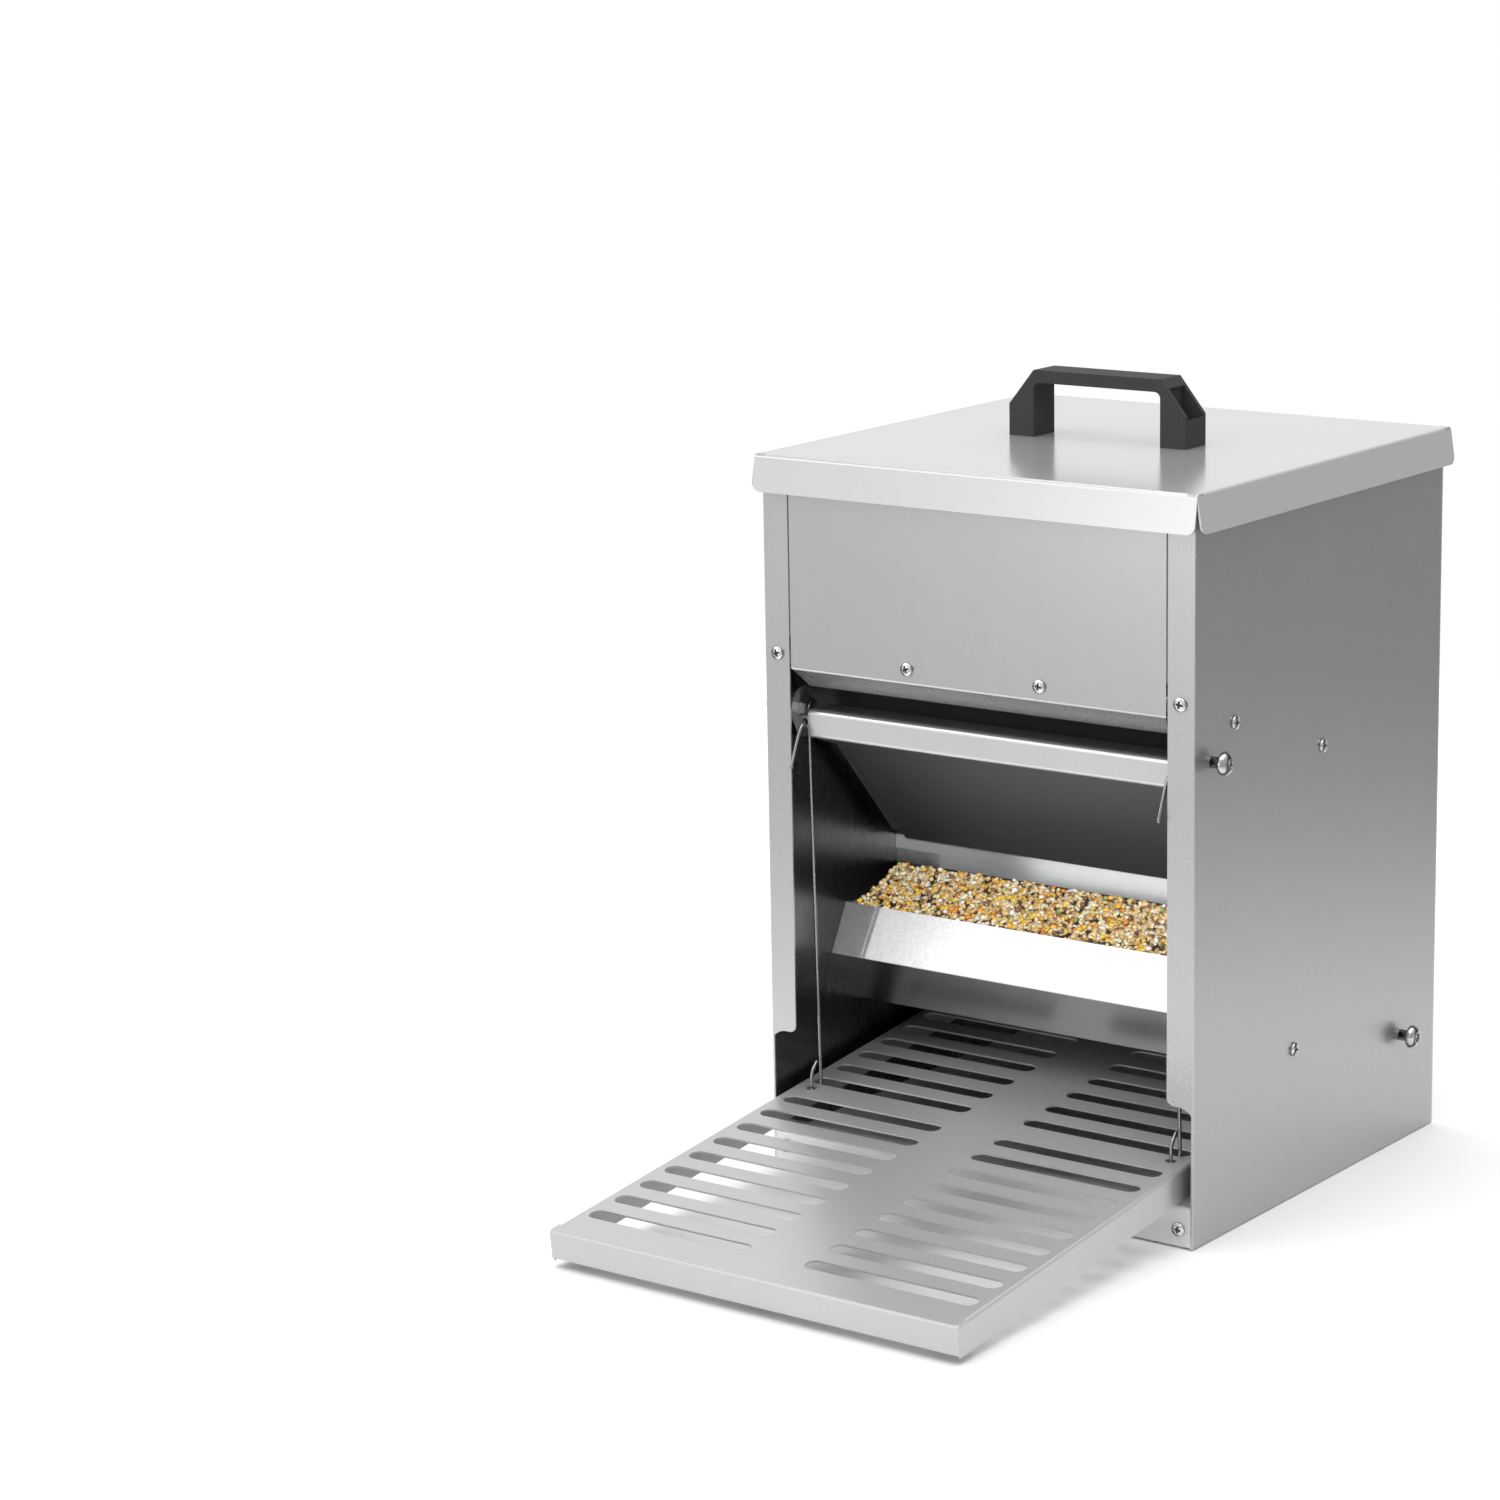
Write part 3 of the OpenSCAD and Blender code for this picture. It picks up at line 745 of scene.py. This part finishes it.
def unreflected(o):
    """Keeps the feed from tinting the metal round it brown."""
    o.visible_glossy = False
    o.visible_diffuse = False
    return o


def feed_bed():
    """A closed heap of feed from the trough's lip back under the gate and up into the hopper, painted very
    dark as the shade between the seeds.
    """
    outline = [(71.5, 127.2), (57.6, 106.2), (77.2, 77.6), (145.0, 77.6), (154.2, 87.0),
               (204.0, 164.0), (160.0, 168.0), (114.5, 168.0), (119.6, 161.0), (119.6, 142.0),
               (116.0, 140.4), (94.0, 133.4)]
    rings = [[at(x, y, z) for y, z in outline] for x in np.linspace(-HEAP, HEAP, 30)]
    # The heap is painted near black, as the shade in the gaps between the seeds.
    husk = seed_material("feed_in_shade", (0.055, 0.032, 0.014))
    return unreflected(new_piece("feed_bed", *tube(rings), husk, "cabinet", smooth=False))


def unit_seed(segments=7, rows=5):
    """(points, triangles) of a coarse ball of radius 1."""
    points = [(0, 0, 1)]
    for k in range(1, rows):
        p = math.pi * k / rows
        for i in range(segments):
            w = TWO_PI * (i + 0.5 * k) / segments
            points.append((math.sin(p) * math.cos(w), math.sin(p) * math.sin(w), math.cos(p)))
    points.append((0, 0, -1))
    last_row = 1 + (rows - 2) * segments
    triangles = []
    for i in range(segments):
        j = (i + 1) % segments
        triangles.append((0, 1 + i, 1 + j))
        for k in range(rows - 2):
            a, b = 1 + k * segments, 1 + (k + 1) * segments
            triangles += [(a + i, b + i, b + j), (a + i, b + j, a + j)]
        triangles.append((last_row + i, len(points) - 1, last_row + j))
    return np.array(points), np.array(triangles)


def seeds(name, count, surface, depth):
    """Loose grains lying on a surface: surface() gives x, y, z in millimetres and a slope."""
    points, triangles = unit_seed()
    share = np.array([s[0] for s in SEEDS])
    kinds = rng.choice(len(SEEDS), count, p=share / share.sum())
    verts = np.empty((count, len(points), 3))
    tones = np.ones((count, len(points), 4))
    for k in range(count):
        _, tone, long, wide, flat = SEEDS[kinds[k]]
        size = np.array([long, wide, wide * flat]) / 2 * rng.uniform(0.78, 1.15)
        x, y, z, slope = surface()
        turn = rng.uniform(0, TWO_PI)
        tilt = rng.normal(0, 0.45)
        rot = np.array((Matrix.Rotation(slope, 3, "X") @ Matrix.Rotation(turn, 3, "Z")
                        @ Matrix.Rotation(tilt, 3, "Y")))
        grain = points * size
        grain[:, 2] *= 1 - 0.25 * (grain[:, 0] / size[0]) ** 2
        p = grain @ rot.T
        p += np.array([x, y, z]) - np.array([0, 0, 1]) * rng.uniform(0, depth)
        p[:, 0] = np.clip(p[:, 0], -HEAP, HEAP)
        verts[k] = np.column_stack([p[:, 0] * MM, FRONT + p[:, 1] * MM, p[:, 2] * MM])
        tones[k, :, :3] = np.clip(np.array(tone) * rng.uniform(0.78, 1.15), 0, 1)
    faces = triangles[None] + (np.arange(count) * len(points))[:, None, None]
    mesh = bpy.data.meshes.new(name)
    mesh.from_pydata(verts.reshape(-1, 3).tolist(), [], faces.reshape(-1, 3).tolist())
    mesh.shade_smooth()
    colours = mesh.color_attributes.new("seed_colour", "FLOAT_COLOR", "POINT")
    colours.data.foreach_set("color", tones.astype(np.float32).ravel())
    mesh.materials.append(seed_material(name + "_husk"))
    o = placed(name, mesh)
    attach(o, "cabinet")
    return unreflected(o)


def trough_surface():
    """A random point of the slope from the trough's lip up to the gate."""
    lip, gate = 71.0, 119.2
    y = rng.uniform(lip, gate)
    z = 128.2 + (y - lip) * 0.325
    return rng.uniform(-129.8, 129.8), y, z, math.radians(16)


def hopper_surface():
    """A random point of the feed's top in the hopper, which falls away a little at the back."""
    y = rng.uniform(118, 200)
    return rng.uniform(-127.6, 127.6), y, 168.3 - max(0, y - 160) * 0.09, 0.0


bed = feed_bed()
trough_seeds = seeds("feed_in_trough", 3500, trough_surface, 2.2)
seeds("feed_in_hopper", 3000, hopper_surface, 1.2)


# ---------- studio ----------

def area(name, place, aim, size, power):
    """A rectangular lamp that points at a place."""
    data = bpy.data.lights.new(name, "AREA")
    data.shape = "RECTANGLE"
    data.size, data.size_y = size
    data.energy = power
    lamp = placed(name, data)
    lamp.location = place
    lamp.rotation_mode = "QUATERNION"
    lamp.rotation_quaternion = (Vector(aim) - Vector(place)).to_track_quat("-Z", "Y")
    return lamp


def only(name, lamp, receivers):
    """The lamp lights these pieces and no others."""
    group = bpy.data.collections.new(name)
    for o in receivers:
        group.objects.link(o)
    lamp.light_linking.receiver_collection = group


def floor():
    """A pale round table top; its edge is lost in the backdrop. In reflections it dims outward."""
    radius, middle_x, middle_y, top = 1.6, -0.1, -0.35, -0.0006
    ring = [(x + middle_x, y + middle_y, top) for x, y, _ in circle(radius, 0, 96)]
    mesh = bpy.data.meshes.new("floor")
    mesh.from_pydata(ring, [], [tuple(range(len(ring)))])
    o = placed("floor", mesh)
    m = Surface("floor_paint")
    distance = m.add("ShaderNodeVectorMath", operation="LENGTH")
    m.feed(distance.inputs[0], m.own())
    pale = m.mix(m.ramp(distance.outputs["Value"], 0.35, 1.0), (0.93, 0.93, 0.93), (0.40, 0.40, 0.40))
    to_camera = m.add("ShaderNodeLightPath").outputs["Is Camera Ray"]
    m.set("Base Color", m.mix(to_camera, pale, (0.95, 0.95, 0.95)))
    m.set("Roughness", 0.9)
    m.set("Specular IOR Level", 0.1)
    mesh.materials.append(m.mat)


def backdrop():
    """White to the camera. To everything else: bright on the left and overhead, else dimmer."""
    world = bpy.data.worlds.new("studio")
    bpy.context.scene.world = world
    world.use_nodes = True
    t = Tree(world.node_tree)

    def background(colour, strength):
        n = t.add("ShaderNodeBackground")
        n.inputs["Color"].default_value = (*colour, 1)
        t.feed(n.inputs["Strength"], strength)
        return n.outputs[0]

    way = t.add("ShaderNodeSeparateXYZ")
    t.feed(way.inputs[0], t.add("ShaderNodeTexCoord").outputs["Generated"])
    level = t.ramp(way.outputs["X"], -0.5, 0.5, 0.93, 0.5, "SMOOTHSTEP")
    above = t.ramp(way.outputs["Z"], 0.3, 0.75, 0.42, 0.90, "SMOOTHSTEP")
    below = t.ramp(way.outputs["Z"], -0.35, 0.02, 0.6, 1.0, "SMOOTHSTEP")
    strength = t.math("MULTIPLY", t.math("MAXIMUM", level, above), below)
    choice = t.add("ShaderNodeMixShader")
    t.feed(choice.inputs[0], t.add("ShaderNodeLightPath").outputs["Is Camera Ray"])
    t.feed(choice.inputs[1], background((0.985, 0.992, 1.0), strength))
    t.feed(choice.inputs[2], background((1, 1, 1), 1.0))
    t.feed(t.add("ShaderNodeOutputWorld").inputs["Surface"], choice.outputs[0])


def lamps():
    """A soft top light, two cards in front, and a narrow lamp each for the feed and the trough."""
    area("top", (0.1, -0.3, 2.2), (0, -0.1, 0), (2.6, 2.6), 38)
    area("front_left", (-1.35, -1.45, 1.35), (0, 0, 0.1), (1.3, 1.1), 5.5)
    on_feed = area("front_on_feed", (1.22, -2.2, 1.25), (0, -0.1, 0.12), (0.14, 0.4), 70)
    only("light_on_feed", on_feed, [trough_seeds, bed, NODES["hopper_chute"]])
    on_trough = area("front_on_trough", (-0.33, -2.4, 1.15), (0, -0.1, 0.12), (0.08, 0.4), 44)
    only("light_on_trough", on_trough, [NODES["trough"], NODES["feed_gate"]])
    area("front_card", (-0.85, -2.5, 0.30), (0, -0.1, 0.3), (0.9, 0.9), 3.2)


floor()
backdrop()
lamps()
bpy.context.scene.view_settings.view_transform = "Standard"
